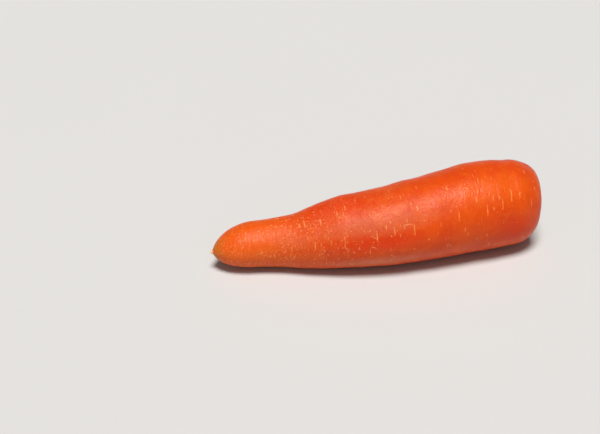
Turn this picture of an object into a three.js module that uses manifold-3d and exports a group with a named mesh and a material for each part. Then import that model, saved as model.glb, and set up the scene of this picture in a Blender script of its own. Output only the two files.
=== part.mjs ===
// A topped carrot: one storage root, lying on its side, with the cut stubs of its leaf stalks in the hollow
// of its crown. Millimetres, +Z up. The root lies along X with its crown at +X, and the origin is on the
// surface it lies on, at the middle of its outline.
import * as THREE from "three";
import { mergeVertices } from "three/addons/utils/BufferGeometryUtils.js";
import Module from "manifold-3d";

// ---- Driving dimensions ------------------------------------------------------------------------------

const ROOT_LENGTH = 214.6; // from the crest of the shoulder to the end of the nose
const TAIL_LENGTH = 1.4; // of the broken tap root, past the nose
const TAIL_RADIUS = 1.0;
const TAIL_BEVEL = 0.4; // on the edge of its broken end
const TAIL_FILLET = 1.4; // how widely the nose runs into the tail
const CREST_RADIUS = 17.7; // the ring where the shoulder turns into the crown's hollow
const SHOULDER_END = 20; // distance from the crest at which the shoulder's round is over
const SHOULDER_ROUND = 0.63; // 0.5 makes a round an ellipse, and more makes it more pointed
const NOSE_START = 186; // distance at which the nose's round begins
const NOSE_ROUND = 0.6;
// Distance from the crest and radius, where the body between shoulder and nose changes its taper.
const BODY_PROFILE = [
  [SHOULDER_END, 28.4], [38, 29.4], [60, 28.5], [85, 26.8], [110, 25.0],
  [132, 23.1], [150, 20.0], [163, 17.3], [175, 15.8], [NOSE_START, 15.0],
];
// Distance from the crest and sideways place of the axis: the root is bowed a little.
const AXIS_BOW = [[0, 3.4], [50, -1.0], [100, -5.2], [150, -1.2], [190, 4.9], [216, 3.8]];
const CROWN_X = 107.7; // the crest's middle along X
const CROWN_LEAN = 0.096; // slope of the crown's plane: its upper, far side stands further out
const LEAN_DIRECTION = { y: 0.48, z: 0.88 };
const LEAN_REACH = 60; // the lean dies out over this distance from the crest

// Low waves that make the section depart from a circle: height as a share of the radius, waves round the
// root, twist in radians for each millimetre along it, and phase.
const LOBES = [
  { share: 0.014, waves: 2, twist: 0, phase: -0.7 },
  { share: 0.011, waves: 3, twist: 0.021, phase: 0 },
  { share: 0.006, waves: 5, twist: -0.05, phase: 1 },
  { share: 0.004, waves: 1, twist: -0.31, phase: Math.PI / 2 },
];
// Swellings one after another along the root, each ring of them bent out of its plane.
const SWELLING = { share: 0.007, waveLength: 43, bend: 2 };
const TRUE_SPREAD = 2.2; // how soon the waves grow away from the underside, which stays true

const FLAT_DEPTH = 0.5; // how far the underside is pressed flat where it rests
const CROWN_AXIS_HEIGHT = 26.9; // of the axis at the crest, where the underside is clear of the surface
const CROWN_AXIS_DROP = 0.0025; // and its fall from there, times the distance squared
const NOSE_AXIS_HEIGHT = 14.7; // height of the axis at the end of the nose
const NOSE_AXIS_RISE = 0.055; // and its rise for each millimetre towards the crown
const NOSE_LIFT_BLEND = 1.2; // how gently the underside leaves the surface towards the nose
const CROWN_LIFT_BLEND = 0.8; // and towards the crown

const HOLLOW_DEPTH = 5.6; // of the crown's hollow, below the crest
const HOLLOW_FLOOR_RADIUS = 9.8;
// Radius and depth of the hollow's wall, from the crest inwards to the edge of its floor.
const HOLLOW_PROFILE = [
  [16.2, 0.2], [14.6, 1.1], [13.1, 2.5], [11.6, 4.2], [10.6, 5.2], [HOLLOW_FLOOR_RADIUS, HOLLOW_DEPTH],
];

const SIDES = 44; // facets round the root
const SHOULDER_RINGS = [0, 0.4, 1.4, 3.4, 6]; // distances of the plain rings before the first scar
const NOSE_RINGS = [0, 0.12, 0.28, 0.43, 0.57, 0.69, 0.8, 0.88, 0.94, 0.98, 1]; // as shares of the nose

// Distance from the crest, degrees round the root, and length of each root scar of one side, where the side
// roots grew in a double row. Each has a ring of the mesh to itself, 3 mm or more from the next.
const SIDE_SCARS = [
  [10, 147, 6], [15, 140, 7], [19, 138, 5], [24, 136, 10], [31, 146, 9], [41, 151, 9], [47, 135, 4],
  [60, 151, 9], [65, 111, 4], [72, 157, 3], [86, 127, 4], [89, 156, 9], [102, 153, 7], [108, 145, 3],
  [113, 158, 8], [130, 102, 5], [133, 161, 9], [136, 109, 5], [147, 117, 6], [152, 159, 7], [156, 110, 7],
  [166, 163, 5], [177, 179, 4],
];
const HALF_TURN = 180; // degrees from one side's double row to the other's
const SCAR_TILT = 0.5; // how far a ring leans ahead on one side of the root, and behind on the other
const SCAR_HALF_WIDTH = 0.9; // from a scar's bottom to its lip, along the root
const SCAR_DEPTH = 0.45;
const STRAY_SCAR = 4; // length of a stray scar
const STRAY_ROOM = 6; // rings this far apart have a stray scar midway between them
const STRAY_TURN = 137.5; // degrees from one stray scar to the next

const STUB_COUNT = 14; // leaf stalks cut off short
const OUTER_STUB = { height: 3.4, halfWidth: 2.4, thickness: 1.7, tilt: 0.22 };
const INNER_STUB = { height: 5.2, halfWidth: 1.0, thickness: 0.9, tilt: 0.02 };
const STUB_SPREAD = 6.7; // from the stem's middle to the outermost stub
const STUB_ROOT = 0.25; // height above the stem's foot at which a stub begins, inside the stem
const STUB_RAGGEDNESS = 0.5; // how far a cut may be above or below its neighbours
const CUT_STEP = 2.1; // radians from one stub to the next, for a height that varies by a sine
const STEM_RADIUS = 9.2; // of the short stem that carries them
// Radius and height of the stem, a low dome on a flat foot.
const STEM_PROFILE = [[0, 0], [STEM_RADIUS, 0], [STEM_RADIUS, 0.5], [7, 1.1], [4, 1.6], [0, 1.9]];
const STEM_SIDES = 20;
const FLOOR_GAP = 0.3; // between the stem and the hollow's floor
const GOLDEN_ANGLE = Math.PI * (3 - Math.sqrt(5));

const CURVE_SAMPLES = 400; // straight steps that stand for a smooth line
const WELD_DISTANCE = 1e-4; // points nearer than this are one

// ---- The root's shape --------------------------------------------------------------------------------

// A smooth line through [place, value] points.
function lineThrough(points) {
  const curve = new THREE.SplineCurve(points.map(([at, value]) => new THREE.Vector2(at, value)));
  const samples = curve.getPoints(CURVE_SAMPLES);
  return (at) => {
    const next = samples.findIndex((sample) => sample.x > at);
    if (next === -1) return samples.at(-1).y;
    const [before, after] = [samples[next - 1], samples[next]];
    return THREE.MathUtils.mapLinear(at, before.x, after.x, before.y, after.y);
  };
}

const bodyRadius = lineThrough(BODY_PROFILE);
const axisSide = lineThrough(AXIS_BOW);

// The larger of two lengths, blended where they are alike.
function softMax(a, b, blend) {
  return (a + b + Math.hypot(a - b, blend)) / 2;
}

// The mean radius at a distance from the crest: shoulder, body, and the nose running into the tail.
function rootRadius(distance) {
  if (distance < SHOULDER_END) {
    const toShoulder = 1 - distance / SHOULDER_END;
    const rise = bodyRadius(SHOULDER_END) - CREST_RADIUS;
    return CREST_RADIUS + rise * (1 - toShoulder ** 2) ** SHOULDER_ROUND;
  }
  if (distance < NOSE_START) return bodyRadius(distance);
  const along = Math.min(1, (distance - NOSE_START) / (ROOT_LENGTH - NOSE_START));
  const nose = bodyRadius(NOSE_START) * (1 - along ** 2) ** NOSE_ROUND;
  return softMax(nose, TAIL_RADIUS, TAIL_FILLET);
}

// The height of the axis: the underside lies on the surface along the body, and clears it at both ends.
function axisHeight(distance) {
  const nose = NOSE_AXIS_HEIGHT + NOSE_AXIS_RISE * (ROOT_LENGTH - distance);
  const crown = CROWN_AXIS_HEIGHT - CROWN_AXIS_DROP * distance ** 2;
  const raised = softMax(softMax(rootRadius(distance), nose, NOSE_LIFT_BLEND), crown, CROWN_LIFT_BLEND);
  return raised - FLAT_DEPTH;
}

// How far the section departs from a circle, as a share of the radius.
function unevenness(distance, angle) {
  const turn = (2 * Math.PI * distance) / SWELLING.waveLength + SWELLING.bend * Math.cos(angle);
  let share = SWELLING.share * Math.sin(turn);
  for (const lobe of LOBES) {
    share += lobe.share * Math.cos(lobe.waves * angle + lobe.twist * distance + lobe.phase);
  }
  const upperShare = (1 + Math.sin(angle)) / 2;
  return share * Math.min(1, TRUE_SPREAD * upperShare);
}

// A point of the skin. sink is how far it lies inside the plain skin.
function skinPoint(distance, angle, radius = rootRadius(distance), sink = 0) {
  const r = radius * (1 + unevenness(distance, angle)) - sink;
  const y = r * Math.cos(angle);
  const z = r * Math.sin(angle);
  const fade = Math.max(0, 1 - distance / LEAN_REACH) ** 2;
  const lean = CROWN_LEAN * fade * (LEAN_DIRECTION.y * y + LEAN_DIRECTION.z * z);
  return new THREE.Vector3(
    CROWN_X - distance + lean,
    axisSide(distance) + y,
    Math.max(0, axisHeight(distance) + z),
  );
}

// ---- Root scars --------------------------------------------------------------------------------------

// The rings of scars from crown to nose, each with its scars as degrees and length: one side's scar and one
// of the other side, whose double row runs the other way, or a stray.
function scarRings() {
  const rings = SIDE_SCARS.map(([distance, degrees, length], number) => {
    const [, otherDegrees, otherLength] = SIDE_SCARS.at(-1 - number);
    return { distance, scars: [[degrees, length], [otherDegrees + HALF_TURN, otherLength]] };
  });
  const strays = rings
    .slice(1)
    .map((ring, number) => [rings[number].distance, ring.distance])
    .filter(([before, after]) => after - before >= STRAY_ROOM)
    .map(([before, after], number) => {
      return { distance: (before + after) / 2, scars: [[number * STRAY_TURN, STRAY_SCAR]] };
    });
  return [...rings, ...strays].sort((one, other) => one.distance - other.distance);
}

// How deep the scars of a ring cut at an angle round it. A scar ends half a facet past its own span.
function scarSink({ distance, scars }, angle) {
  const depths = scars.map(([degrees, length]) => {
    const turned = angle - THREE.MathUtils.degToRad(degrees);
    const away = Math.atan2(Math.sin(turned), Math.cos(turned));
    const halfSpan = length / 2 / rootRadius(distance) + Math.PI / SIDES;
    return SCAR_DEPTH * Math.sqrt(Math.max(0, 1 - (away / halfSpan) ** 2));
  });
  return Math.max(...depths);
}

// ---- The root's mesh ---------------------------------------------------------------------------------

// One ring of points for each station along the root, from the hollow's floor to the tail.
function rootRings() {
  const angles = Array.from({ length: SIDES }, (_, side) => (side * 2 * Math.PI) / SIDES);
  const ringAt = (distance, radius) => angles.map((angle) => skinPoint(distance, angle, radius));

  const hollow = [...HOLLOW_PROFILE].reverse().map(([radius, depth]) => {
    return ringAt(0, radius).map((point) => point.setX(point.x - depth));
  });
  const shoulder = SHOULDER_RINGS.map((distance) => ringAt(distance));

  const body = scarRings().flatMap((ring, number) => {
    const at = (angle) => ring.distance + SCAR_TILT * Math.cos(angle - number * GOLDEN_ANGLE);
    return [
      angles.map((angle) => skinPoint(at(angle) - SCAR_HALF_WIDTH, angle)),
      angles.map((angle) => skinPoint(at(angle), angle, undefined, scarSink(ring, angle))),
      angles.map((angle) => skinPoint(at(angle) + SCAR_HALF_WIDTH, angle)),
    ];
  });

  const nose = NOSE_RINGS.map((share) => ringAt(THREE.MathUtils.lerp(NOSE_START, ROOT_LENGTH, share)));
  const tailEnd = ROOT_LENGTH + TAIL_LENGTH;
  const tail = [ringAt(tailEnd - TAIL_BEVEL), ringAt(tailEnd, TAIL_RADIUS - TAIL_BEVEL)];
  return [...hollow, ...shoulder, ...body, ...nose, ...tail];
}

// A closed skin over the rings, with a fan of faces over the first ring and over the last.
function rootGeometry() {
  const rings = rootRings();
  const middle = (ring) =>
    ring.reduce((sum, point) => sum.add(point), new THREE.Vector3()).divideScalar(SIDES);
  const points = [...rings.flat(), middle(rings[0]), middle(rings.at(-1))];
  const at = (ring, side) => ring * SIDES + (side % SIDES);
  const crownMiddle = rings.length * SIDES;
  const tailMiddle = crownMiddle + 1;
  const faces = [];
  for (let side = 0; side < SIDES; side++) {
    faces.push(crownMiddle, at(0, side), at(0, side + 1));
    for (let ring = 0; ring + 1 < rings.length; ring++) {
      const [a, b] = [at(ring, side), at(ring, side + 1)];
      const [c, d] = [at(ring + 1, side + 1), at(ring + 1, side)];
      faces.push(a, d, c, a, c, b);
    }
    faces.push(tailMiddle, at(rings.length - 1, side + 1), at(rings.length - 1, side));
  }
  const geometry = new THREE.BufferGeometry().setFromPoints(points).setIndex(faces);
  geometry.computeVertexNormals();
  return geometry;
}

// ---- Leaf-stalk stubs --------------------------------------------------------------------------------

const wasm = await Module();
wasm.setup();

function solidOf(geometry) {
  geometry.deleteAttribute("normal");
  geometry.deleteAttribute("uv");
  const merged = mergeVertices(geometry, WELD_DISTANCE);
  const vertProperties = merged.attributes.position.array;
  const triVerts = new Uint32Array(merged.index.array);
  return new wasm.Manifold(new wasm.Mesh({ numProp: 3, vertProperties, triVerts }));
}

function geometryOf(solid) {
  const { vertProperties, triVerts } = solid.getMesh();
  const geometry = new THREE.BufferGeometry()
    .setAttribute("position", new THREE.BufferAttribute(vertProperties, 3))
    .setIndex(new THREE.BufferAttribute(triVerts, 1));
  geometry.computeVertexNormals();
  return geometry;
}

// The short stem in the hollow, with its axis along +Z.
function stemGeometry() {
  const profile = STEM_PROFILE.map(([radius, height]) => new THREE.Vector2(radius, height));
  return new THREE.LatheGeometry(profile, STEM_SIDES).rotateX(Math.PI / 2);
}

// The section of a stalk: a crescent, hollow on the side that faces the stem's middle.
function stalkSection(halfWidth, thickness) {
  const section = new THREE.Shape();
  section.moveTo(-thickness / 2, -halfWidth);
  section.bezierCurveTo(thickness, -halfWidth, thickness, halfWidth, -thickness / 2, halfWidth);
  section.quadraticCurveTo(0, 0, -thickness / 2, -halfWidth);
  return section;
}

// One cut stalk. Number 0 is the outermost, and they climb a spiral towards the middle.
function stalkGeometry(number) {
  const inwards = number / (STUB_COUNT - 1);
  const between = (size) => THREE.MathUtils.lerp(OUTER_STUB[size], INNER_STUB[size], inwards);
  const section = stalkSection(between("halfWidth"), between("thickness"));
  const depth = between("height") + STUB_RAGGEDNESS * Math.sin(CUT_STEP * number);
  const options = { depth, steps: 1, curveSegments: 5, bevelEnabled: false };
  return new THREE.ExtrudeGeometry(section, options)
    .rotateY(between("tilt"))
    .translate(STUB_SPREAD * Math.sqrt(1 - number / STUB_COUNT), 0, STUB_ROOT)
    .rotateZ(number * GOLDEN_ANGLE);
}

function stubsGeometry() {
  let solid = solidOf(stemGeometry());
  for (let number = 0; number < STUB_COUNT; number++) {
    solid = solid.add(solidOf(stalkGeometry(number)));
  }
  return geometryOf(solid);
}

// ---- The carrot --------------------------------------------------------------------------------------

function makeRoot() {
  const skin = new THREE.MeshStandardMaterial({ color: 0xe8591a, roughness: 0.42, metalness: 0 });
  const mesh = new THREE.Mesh(rootGeometry(), skin);
  mesh.name = "carrot_root";
  return mesh;
}

function makeStubs() {
  const stalk = new THREE.MeshStandardMaterial({ color: 0x9a9a4a, roughness: 0.75, metalness: 0 });
  const mesh = new THREE.Mesh(stubsGeometry(), stalk);
  mesh.name = "leaf_stalk_stubs";
  const slopeY = CROWN_LEAN * LEAN_DIRECTION.y;
  const slopeZ = CROWN_LEAN * LEAN_DIRECTION.z;
  const outwards = new THREE.Vector3(1, -slopeY, -slopeZ).normalize();
  mesh.quaternion.setFromUnitVectors(new THREE.Vector3(0, 0, 1), outwards);
  mesh.position.set(CROWN_X - HOLLOW_DEPTH, axisSide(0), axisHeight(0));
  mesh.position.addScaledVector(outwards, FLOOR_GAP);
  return mesh;
}

const carrot = new THREE.Group();
carrot.add(makeRoot(), makeStubs());

export default carrot;
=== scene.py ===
"""A topped carrot: the washed root with its root scars, the cut stubs of its leaf stalks, the few broken
rootlets that lie on its skin, and a plain studio floor and light. Lengths are written in millimetres and
MM turns them into metres. The root lies along X with its crown at +X, on the floor at Z = 0."""

from math import cos, pi, radians, sin, sqrt

import bpy
import numpy as np
from bpy.props import FloatProperty, FloatVectorProperty, IntProperty, PointerProperty
from bpy.types import Operator, Panel, PropertyGroup
from mathutils import Matrix, Vector


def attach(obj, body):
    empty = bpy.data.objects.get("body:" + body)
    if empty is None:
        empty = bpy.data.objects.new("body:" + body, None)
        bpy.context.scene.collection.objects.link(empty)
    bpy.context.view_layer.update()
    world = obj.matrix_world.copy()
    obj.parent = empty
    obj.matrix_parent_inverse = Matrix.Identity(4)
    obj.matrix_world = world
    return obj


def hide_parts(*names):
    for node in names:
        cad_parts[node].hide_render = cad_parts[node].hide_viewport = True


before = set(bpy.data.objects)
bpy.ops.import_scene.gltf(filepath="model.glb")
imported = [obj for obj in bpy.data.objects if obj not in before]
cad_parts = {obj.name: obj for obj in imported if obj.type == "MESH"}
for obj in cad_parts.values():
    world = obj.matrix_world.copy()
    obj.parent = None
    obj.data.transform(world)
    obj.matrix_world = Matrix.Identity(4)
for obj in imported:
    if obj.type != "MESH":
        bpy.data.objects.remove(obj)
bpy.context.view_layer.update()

bl_info = {
    "name": "Topped Carrot",
    "version": (1, 0, 0),
    "blender": (4, 5, 0),
    "location": "View3D > Sidebar > Carrot",
    "description": "Makes a topped carrot lying on a studio floor",
    "category": "Object",
}

MM = 0.001
GOLDEN_ANGLE = pi * (3 - sqrt(5))

# ---- The root's form, in millimetres ----

ROOT_LENGTH = 214.6  # from the crest of the shoulder to the end of the nose
TAIL_LENGTH = 1.4  # of the broken tap root, past the nose
TAIL_RADIUS = 1.0  # of its broken end
TAIL_FILLET = 1.4  # how widely the nose runs into the tail
TAIL_BEVEL = 0.4  # on the edge of its broken end
CREST_RADIUS = 17.7  # the ring where the shoulder turns into the crown's hollow
SHOULDER_END = 20  # distance from the crest at which the shoulder's round is over
SHOULDER_ROUND = 0.63  # 0.5 makes a round an ellipse, and more makes it more pointed
NOSE_START = 186  # distance at which the nose's round begins
NOSE_ROUND = 0.6  # as for the shoulder
BODY_PROFILE = [  # distance from the crest and radius, where the taper changes
    (SHOULDER_END, 28.4), (38, 29.4), (60, 28.5), (85, 26.8), (110, 25.0),
    (132, 23.1), (150, 20.0), (163, 17.3), (175, 15.8), (NOSE_START, 15.0),
]
AXIS_BOW = [(0, 3.4), (50, -1.0), (100, -5.2), (150, -1.2), (190, 4.9), (216, 3.8)]
CROWN_X = 107.7  # the crest's middle along X
CROWN_LEAN = 0.096  # slope of the crown's plane
LEAN_Y = 0.48  # the slope's share sideways
LEAN_Z = 0.88  # and its share upwards
LEAN_REACH = 60  # the lean dies out over this distance from the crest

LOBES = [  # height as a share of the radius, waves round the root, radians of twist a millimetre, and phase
    (0.014, 2, 0, -0.7), (0.011, 3, 0.021, 0), (0.006, 5, -0.05, 1), (0.004, 1, -0.31, pi / 2),
]
SWELLING_SHARE = 0.007  # height of the slow swellings along the root, as a share of the radius
SWELLING_LENGTH = 43  # from one to the next
SWELLING_BEND = 2  # radians by which a swelling is ahead on one side of the root
TRUE_SPREAD = 2.2  # how soon the waves grow away from the underside, which stays true

FLAT_DEPTH = 0.5  # how far the underside is pressed flat where it rests
CROWN_AXIS_HEIGHT = 26.9  # the least that the axis may have at the crest
CROWN_AXIS_DROP = 0.0025  # how that falls off, by the square of the distance
NOSE_AXIS_HEIGHT = 14.7  # the least that the axis may have at the nose's end
NOSE_AXIS_RISE = 0.055  # how that rises towards the crown
NOSE_LIFT_BLEND = 1.2  # how widely the nose's underside lifts off the floor
CROWN_LIFT_BLEND = 0.8  # and the crown's
CLEAR_HEIGHT = 3  # above the floor, from where on the relief is full
FRAY_LEAD = 1  # the tail frays from this far before the nose's end
FRAY_REACH = 2  # and fully from this far on

HOLLOW_DEPTH = 5.6  # of the crown's hollow, below the crest
HOLLOW_PROFILE = [  # radius and depth, from the floor's middle out to the crest
    (0, HOLLOW_DEPTH), (5, HOLLOW_DEPTH), (9.8, HOLLOW_DEPTH), (10.6, 5.2), (11.6, 4.2), (13.1, 2.5),
    (14.6, 1.1), (16.2, 0.2), (CREST_RADIUS, 0),
]

# ---- The root's mesh and scars ----

SIDES = 128  # points round the root
HOLLOW_RINGS = 40
SHOULDER_RINGS = 46
BODY_RINGS = 560
NOSE_RINGS = 90
SHOULDER_CROWDING = 2  # more than 1 crowds the rings towards the crest
NOSE_CROWDING = 0.8  # less than 1 crowds them towards the tail
SIDE_SCARS = [  # distance, degrees round the root and length of the root scars of one side
    (10, 147, 6), (15, 140, 7), (19, 138, 5), (24, 136, 10), (31, 146, 9), (41, 151, 9), (47, 135, 4),
    (60, 151, 9), (65, 111, 4), (72, 157, 3), (86, 127, 4), (89, 156, 9), (102, 153, 7), (108, 145, 3),
    (113, 158, 8), (130, 102, 5), (133, 161, 9), (136, 109, 5), (147, 117, 6), (152, 159, 7), (156, 110, 7),
    (166, 163, 5), (177, 179, 4),
]
HALF_TURN = 180  # degrees from one side's double row to the other's
STRAY_SCAR = 4  # length of a stray scar
STRAY_ROOM = 6  # rings this far apart or further have a stray scar midway between them
STRAY_TURN = 137.5  # degrees from one stray scar to the next
RUBS = [  # distance, degrees round the root and length of the places where the skin is rubbed
    (66, 110, 12), (54, 117, 15), (86, 127, 8), (113, 122, 12), (134, 117, 18), (158, 108, 22),
    (171, 162, 14), (196, 128, 18), (121, 183, 7), (70, 250, 16), (140, 320, 20), (40, 30, 12),
]
# Patches of another colour: distance, degrees round the root, length, span in degrees and strength. The first
# are redder skin and also painted shade, deeper red on the front's lower half, along the top and underneath;
# the next are painted light, lighter where the highlight falls on the crown and where bounce light falls on
# the nose's front; and the last are painted sheen along the highlight band, a painted reflection of the floor
# on the front's lower side, and a faint pale patch on the back.
RED_AND_SHADE_PATCHES = [
    (145, 88, 100, 76, 0.7), (112, 168, 96, 46, 0.8), (22, 185, 56, 60, 0.7), (158, 290, 60, 60, 0.5),
]
PAINTED_LIGHT_PATCHES = [(30, 125, 76, 62, 0.45), (196, 172, 50, 100, 0.5), (24, 310, 60, 70, 0.35)]
PAINTED_SHEEN_PATCHES = [
    (115, 141, 130, 50, 0.27), (164, 146, 56, 52, 0.24), (112, 205, 96, 40, 0.4), (100, 12, 120, 90, 0.08),
]
NICKS = [  # distance and degrees that a nick curls round, its radius, its middle's turn and its half span
    (118, 186, 6, 245, 26), (93, 167, 9, 268, 27), (61, 300, 5, 150, 40), (152, 44, 6, 300, 35),
]

# ---- The crown's stem and stubs ----

STUB_COUNT = 14
STALK_SIDES = 48  # points round a stalk
STALK_RINGS = [  # height, width and whether it is cut flesh, up the outside of a stalk and into its cut
    (0, 1, 0), (0.35, 1, 0), (0.7, 0.98, 0), (0.92, 0.98, 0), (0.98, 0.95, 0.2), (1, 0.88, 1), (0.98, 0.7, 1),
    (0.95, 0.4, 1), (0.94, 0.1, 1),
]
OUTER_SHARE = 0.6  # the share of the points that runs round the outside
STALK_TIP = (-0.5, -1.0)  # one tip of its crescent section, which is about 1 thick and 1 half wide
STALK_BULGE = (-2, 1)  # from a tip to the handle of the outside's curve, as shares of the tip
RIB_COUNT = 7
RIB_HEIGHT = 0.04  # as a share of the stalk's width
STEM_RADIUS = 9.2
STEM_PROFILE = [(0, 1.9), (4, 1.6), (7, 1.1), (STEM_RADIUS, 0.5)]  # radius and height
STEM_SIDES = 72
STEM_RINGS = 36
STEM_BEVEL = 0.3  # of its edge, at the foot
STEM_MIDDLE = 0.4  # radius of its innermost ring
STEM_EDGE_WAVE = 0.05  # how far its edge waves inwards, as a share of the radius
STEM_EDGE_WAVES = 5
STEM_EDGE_SWING = 2  # radians by which the waves are drawn together on one side
STEM_MARK_HEIGHT = 0.07
STEM_MARK_SPACING = 1.3
STEM_MARK_FADE = 2  # radius inside which the marks fade
STEM_SPIRALS = 3  # spirals that the marks lie on
CUT_STEP = 2.1  # radians from one stub to the next, for a height that varies by a sine
FLOOR_GAP = 0.3  # between the hollow's floor and the stem's foot
ROOTLET_POINTS = 14  # along a rootlet
ROOTLET_SIDES = 7

# ---- The camera ----

CAMERA_AZIMUTH = radians(-11.45)  # turned from straight in front, towards the nose
CAMERA_ELEVATION = radians(34.9)
CAMERA_DISTANCE = 1031.6
CAMERA_TARGET = (-50.7, -3.1, 38.6)
CAMERA_LENS = 97.14
SENSOR_WIDTH = 36


# ---- Small tools ----


def linear(hex_colour):
    """A colour written as sRGB hex, turned linear, and opaque."""
    shares = [int(hex_colour[at:at + 2], 16) / 255 for at in (1, 3, 5)]
    light = [share / 12.92 if share <= 0.04045 else ((share + 0.055) / 1.055) ** 2.4 for share in shares]
    return (*light, 1)


def add(tree, kind, inputs=None, **settings):
    """Adds a node of that kind with its settings. An input is named or numbered, and takes a value, a
    socket, or a node, which stands for its first output."""
    made = tree.nodes.new(kind)
    made.location = (200 * (len(tree.nodes) % 9), -260 * (len(tree.nodes) // 9))
    for name, value in settings.items():
        setattr(made, name, value)
    for key, value in (inputs or {}).items():
        if isinstance(key, int):
            socket = made.inputs[key]
        else:
            socket = next(each for each in made.inputs if each.name == key and each.enabled)
        if isinstance(value, bpy.types.Node):
            value = next(each for each in value.outputs if each.enabled)
        if isinstance(value, bpy.types.NodeSocket):
            tree.links.new(value, socket)
        else:
            socket.default_value = value
    return made


def new_material(name):
    """An empty material, its tree, and the place on the object that is shaded."""
    material = bpy.data.materials.new(name)
    material.use_nodes = True
    tree = material.node_tree
    tree.nodes.clear()
    return material, tree, add(tree, "ShaderNodeTexCoord").outputs["Object"]


def close_material(tree, inputs):
    """Ends a material's tree: a principled surface with these inputs."""
    add(tree, "ShaderNodeOutputMaterial", {"Surface": add(tree, "ShaderNodeBsdfPrincipled", inputs)})


def paint_over(tree, colour, layers):
    """A colour with layers painted over it in turn, each with its strength and its colour."""
    for strength, paint in layers:
        colour = add(tree, "ShaderNodeMix", {"Factor": strength, "A": colour, "B": paint}, data_type="RGBA")
    return colour


def new_tree(name, inputs):
    """A geometry tree with these inputs, given as the labels of each kind, and their sockets by label."""
    tree = bpy.data.node_groups.new(name, "GeometryNodeTree")
    tree.interface.new_socket("Geometry", in_out="OUTPUT", socket_type="NodeSocketGeometry")
    for kind, labels in {"Geometry": ["Geometry"], **inputs}.items():
        for label in labels:
            tree.interface.new_socket(label, in_out="INPUT", socket_type="NodeSocket" + kind)
    return tree, add(tree, "NodeGroupInput").outputs


def close_tree(tree, geometry, material):
    """Ends a geometry tree: what it holds is made real and given its material."""
    real = add(tree, "GeometryNodeRealizeInstances", {"Geometry": geometry})
    finished = add(tree, "GeometryNodeSetMaterial", {"Geometry": real, "Material": material})
    add(tree, "NodeGroupOutput", {"Geometry": finished})


def apply_tree(piece, tree, settings, values):
    """Runs a tree on a piece and keeps the result as a plain mesh. Each input takes the setting that has its
    label in the panel, or else its value."""
    labels = settings.bl_rna.properties
    values = {**values, **{labels[name].name: getattr(settings, name) for name in settings.__annotations__}}
    modifier = piece.modifiers.new(tree.name, "NODES")
    modifier.node_group = tree
    for item in tree.interface.items_tree:
        if item.in_out == "INPUT" and item.name != "Geometry":
            modifier[item.identifier] = values[item.name]
    graph = bpy.context.evaluated_depsgraph_get()
    result = bpy.data.meshes.new_from_object(piece.evaluated_get(graph), depsgraph=graph)
    piece.modifiers.remove(modifier)
    before = piece.data
    piece.data = result
    bpy.data.meshes.remove(before)
    result.name = piece.name


def new_piece(name, points, faces, attributes=None):
    """A smooth mesh object in metres, from points in millimetres, with a number on each point for each
    attribute."""
    mesh = bpy.data.meshes.new(name)
    mesh.from_pydata((np.asarray(points) * MM).tolist(), [], faces)
    mesh.shade_smooth()
    for label, values in (attributes or {}).items():
        layer = mesh.attributes.new(label, "FLOAT", "POINT")
        layer.data.foreach_set("value", np.asarray(values, np.float32).ravel())
    piece = bpy.data.objects.new(name, mesh)
    bpy.context.scene.collection.objects.link(piece)
    return piece


def drop(piece):
    """Removes a helper object and its mesh."""
    mesh = piece.data
    bpy.data.objects.remove(piece)
    bpy.data.meshes.remove(mesh)


def direction(azimuth, elevation):
    """The direction from the carrot to what stands at that azimuth, from straight in front, and height."""
    return Vector((sin(azimuth) * cos(elevation), -cos(azimuth) * cos(elevation), sin(elevation)))


def wall_faces(rings, sides):
    """The faces between stacked rings of points, bottom first."""
    return [
        (low + at, low + (at + 1) % sides, low + sides + (at + 1) % sides, low + sides + at)
        for low in range(0, (rings - 1) * sides, sides) for at in range(sides)
    ]


def closed_faces(rings, sides):
    """The faces of a closed body of stacked rings, with a cap at each end."""
    top = (rings - 1) * sides
    return [tuple(range(sides))[::-1], *wall_faces(rings, sides), tuple(range(top, top + sides))]


# ---- The root's form ----


def line_through(points, samples=400):
    """A smooth line through (place, value) points, as a function of the place."""
    knots = np.array(points, float)
    last = len(knots) - 1
    along = np.linspace(0, last, samples + 1)
    first = along.astype(int)
    share = (along - first)[:, None]
    before, start, end, after = (knots[np.clip(first + step, 0, last)] for step in (-1, 0, 1, 2))
    slope_in = (end - before) / 2
    slope_out = (after - start) / 2
    path = (
        (2 * start - 2 * end + slope_in + slope_out) * share ** 3
        + (3 * end - 3 * start - 2 * slope_in - slope_out) * share ** 2
        + slope_in * share
        + start
    )
    return lambda place: np.interp(place, path[:, 0], path[:, 1])


body_radius = line_through(BODY_PROFILE)
axis_side = line_through(AXIS_BOW)
hollow_depth = line_through(HOLLOW_PROFILE)


def soft_max(a, b, blend):
    """The larger of two lengths, blended where they are alike."""
    return (a + b + np.hypot(a - b, blend)) / 2


def root_radius(distance):
    """The mean radius at a distance from the crest: shoulder, body, and the nose running into the tail."""
    to_shoulder = 1 - np.clip(distance / SHOULDER_END, 0, 1)
    rise = body_radius(SHOULDER_END) - CREST_RADIUS
    shoulder = CREST_RADIUS + rise * (1 - to_shoulder ** 2) ** SHOULDER_ROUND
    along = np.clip((distance - NOSE_START) / (ROOT_LENGTH - NOSE_START), 0, 1)
    nose = soft_max(body_radius(NOSE_START) * (1 - along ** 2) ** NOSE_ROUND, TAIL_RADIUS, TAIL_FILLET)
    ends = np.where(distance < SHOULDER_END, shoulder, nose)
    return np.where((distance >= SHOULDER_END) & (distance < NOSE_START), body_radius(distance), ends)


def axis_height(distance):
    """The height of the axis: the underside lies on the floor along the body, and clears it at both ends."""
    nose = NOSE_AXIS_HEIGHT + NOSE_AXIS_RISE * (ROOT_LENGTH - distance)
    crown = CROWN_AXIS_HEIGHT - CROWN_AXIS_DROP * distance ** 2
    raised = soft_max(soft_max(root_radius(distance), nose, NOSE_LIFT_BLEND), crown, CROWN_LIFT_BLEND)
    return raised - FLAT_DEPTH


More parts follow.
